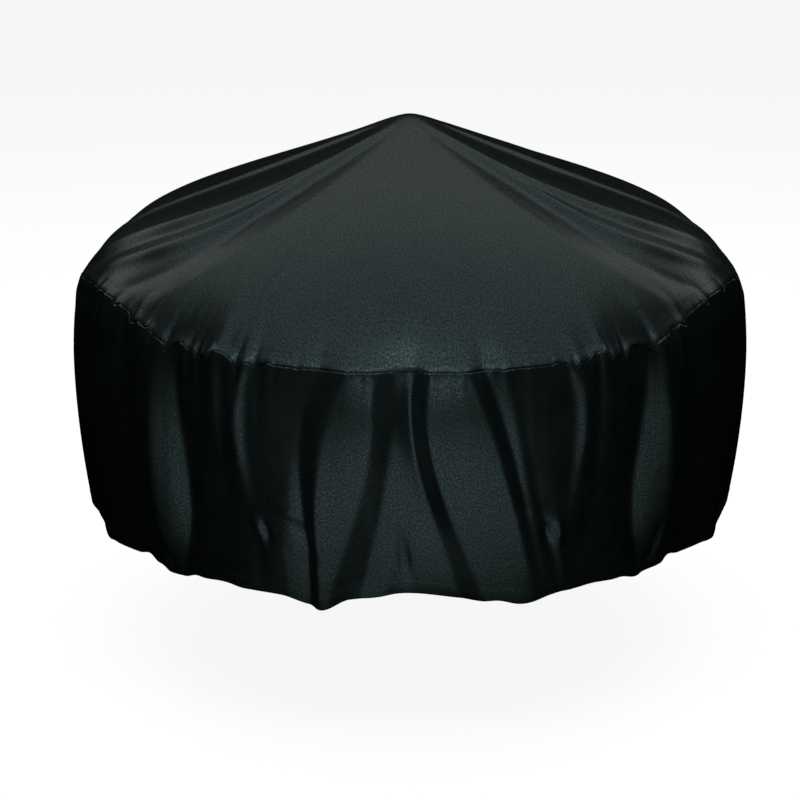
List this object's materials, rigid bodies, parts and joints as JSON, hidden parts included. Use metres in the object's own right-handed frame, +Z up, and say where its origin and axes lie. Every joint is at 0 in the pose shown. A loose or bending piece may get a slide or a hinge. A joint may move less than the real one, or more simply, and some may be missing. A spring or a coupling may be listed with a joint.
{
  "type": "fire pit cover",
  "caption": "Round fitted cover of dark coated cloth: a low cone top whose rolled shoulder is sewn to a loosely gathered skirt, drawn in a little at its turned hem.",
  "frame": {"origin": "the point under the peak of the top panel, where what the cover is pulled over holds it up", "axes": "+Z up through the peak, front towards -Y, +X to the right of someone who faces the front"},
  "size_m": [0.8399, 0.8435, 0.4921],
  "materials": {
    "coated_cloth": "satin"
  },
  "bodies": {
    "root": {"top_panel": "coated_cloth", "skirt": "coated_cloth"}
  },
  "joints": []
}
